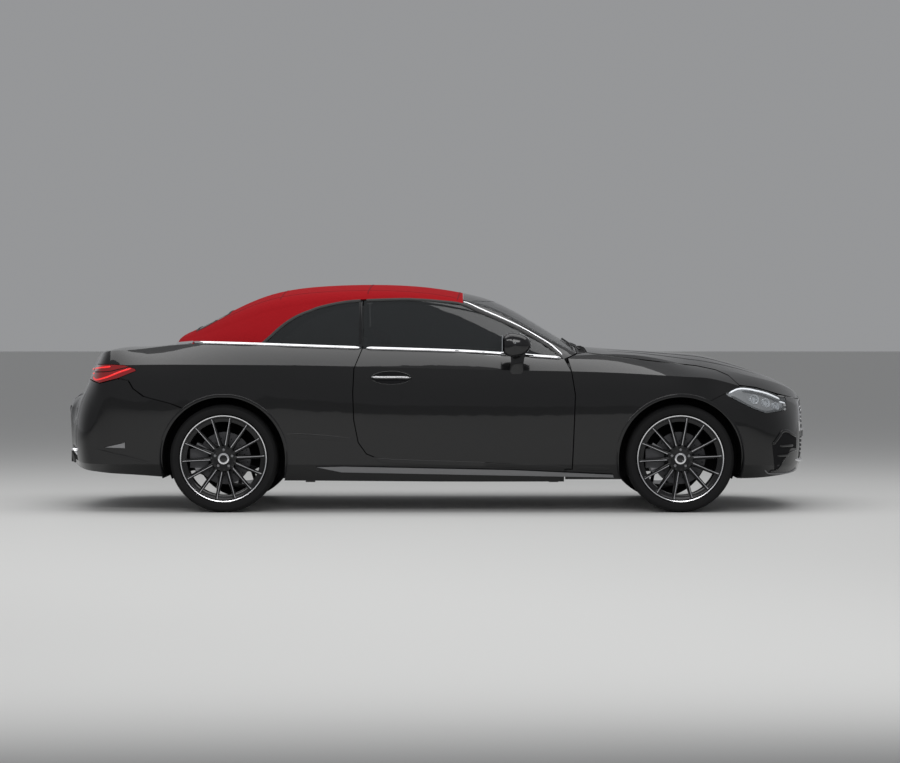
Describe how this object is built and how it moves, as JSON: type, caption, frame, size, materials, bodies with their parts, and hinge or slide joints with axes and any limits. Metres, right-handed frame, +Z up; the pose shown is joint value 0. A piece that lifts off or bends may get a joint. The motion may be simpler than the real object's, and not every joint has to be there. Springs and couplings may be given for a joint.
{
  "type": "two-door convertible car",
  "caption": "Two-door convertible car with a closed fabric soft top, opening doors, bonnet and boot lid, steered front wheels and turning road wheels.",
  "frame": {"origin": "on the ground under the middle of the car", "axes": "+X forwards, +Y to the car's left, +Z up"},
  "size_m": [4.8032, 2.036, 1.447],
  "materials": {
    "black_paint": "gloss",
    "structure": "satin",
    "red_fabric": "matte",
    "tinted_glass": "polished",
    "chrome_trim": "polished",
    "black_plastic": "matte",
    "gloss_black_plastic": "gloss",
    "lamp_clear": "polished",
    "lamp_red": "gloss",
    "black_leather": "satin",
    "tyre": "matte",
    "rim_black": "gloss",
    "steel": "brushed",
    "cast_iron": "satin",
    "aluminium": "satin"
  },
  "bodies": {
    "body": {"front_wings": "black_paint", "front_bumper": "black_paint", "rear_bumper": "black_paint", "rear_body": "black_paint", "floor_and_sills": "black_paint", "front_structure": "structure", "cowl": "black_plastic", "windscreen_frame": "black_paint", "windscreen": "tinted_glass", "rear_window": "tinted_glass", "quarter_glasses": "tinted_glass", "soft_top": "red_fabric", "side_skirts": "steel", "grille": "gloss_black_plastic", "lower_intake": "black_plastic", "headlamps": "lamp_clear", "tail_lamps": "lamp_red", "front_seats": "black_leather", "rear_seat": "black_leather", "dashboard": "black_leather", "centre_console": "black_plastic", "engine": "aluminium", "front_axle": "steel", "rear_axle": "cast_iron", "exhaust": "chrome_trim"},
    "bonnet": {"bonnet": "black_paint"},
    "boot_lid": {"boot_lid": "black_paint"},
    "steering_wheel": {"steering_wheel": "black_leather"},
    "door_left": {"door_left": "black_paint", "door_glass_left": "tinted_glass", "mirror_left": "gloss_black_plastic"},
    "knuckle_left": {"knuckle_front_left": "cast_iron"},
    "wheel_front_left": {"tyre_front_left": "tyre", "rim_front_left": "rim_black", "brake_disc_front_left": "cast_iron"},
    "wheel_rear_left": {"tyre_rear_left": "tyre", "rim_rear_left": "rim_black", "brake_disc_rear_left": "cast_iron"},
    "door_right": {"door_right": "black_paint", "door_glass_right": "tinted_glass", "mirror_right": "gloss_black_plastic"},
    "knuckle_right": {"knuckle_front_right": "cast_iron"},
    "wheel_front_right": {"tyre_front_right": "tyre", "rim_front_right": "rim_black", "brake_disc_front_right": "cast_iron"},
    "wheel_rear_right": {"tyre_rear_right": "tyre", "rim_rear_right": "rim_black", "brake_disc_rear_right": "cast_iron"}
  },
  "joints": [
    {"name": "door_left_hinge", "type": "hinge", "parent": "body", "child": "door_left", "pos_m": [0.961, 0.875, 0.6], "axis": [0, 0, -1], "range_deg": [0, 62]},
    {"name": "steer_left", "type": "hinge", "parent": "body", "child": "knuckle_left", "pos_m": [1.529, 0.735, 0.338], "axis": [0, 0, 1], "range_deg": [-33, 33]},
    {"name": "spin_front_left", "type": "hinge", "parent": "knuckle_left", "child": "wheel_front_left", "pos_m": [1.529, 0.795, 0.338], "axis": [0, 1, 0], "continuous": true},
    {"name": "spin_rear_left", "type": "hinge", "parent": "body", "child": "wheel_rear_left", "pos_m": [-1.336, 0.795, 0.338], "axis": [0, 1, 0], "continuous": true},
    {"name": "door_right_hinge", "type": "hinge", "parent": "body", "child": "door_right", "pos_m": [0.961, -0.875, 0.6], "axis": [0, 0, 1], "range_deg": [0, 62]},
    {"name": "steer_right", "type": "hinge", "parent": "body", "child": "knuckle_right", "pos_m": [1.529, -0.735, 0.338], "axis": [0, 0, 1], "range_deg": [-33, 33]},
    {"name": "spin_front_right", "type": "hinge", "parent": "knuckle_right", "child": "wheel_front_right", "pos_m": [1.529, -0.795, 0.338], "axis": [0, 1, 0], "continuous": true},
    {"name": "spin_rear_right", "type": "hinge", "parent": "body", "child": "wheel_rear_right", "pos_m": [-1.336, -0.795, 0.338], "axis": [0, 1, 0], "continuous": true},
    {"name": "bonnet_hinge", "type": "hinge", "parent": "body", "child": "bonnet", "pos_m": [0.897, 0, 1.027], "axis": [0, -1, 0], "range_deg": [0, 48]},
    {"name": "boot_lid_hinge", "type": "hinge", "parent": "body", "child": "boot_lid", "pos_m": [-1.695, 0, 1.053], "axis": [0, 1, 0], "range_deg": [0, 75]},
    {"name": "steering_wheel_turn", "type": "hinge", "parent": "body", "child": "steering_wheel", "pos_m": [0.349, 0.37, 0.8], "axis": [-0.9063, 0, 0.4226], "range_deg": [-400, 400]}
  ],
  "couplings": [
    {"joint": "steer_right", "follows": "steer_left", "ratio": 1},
    {"joint": "steering_wheel_turn", "follows": "steer_left", "ratio": 12}
  ]
}
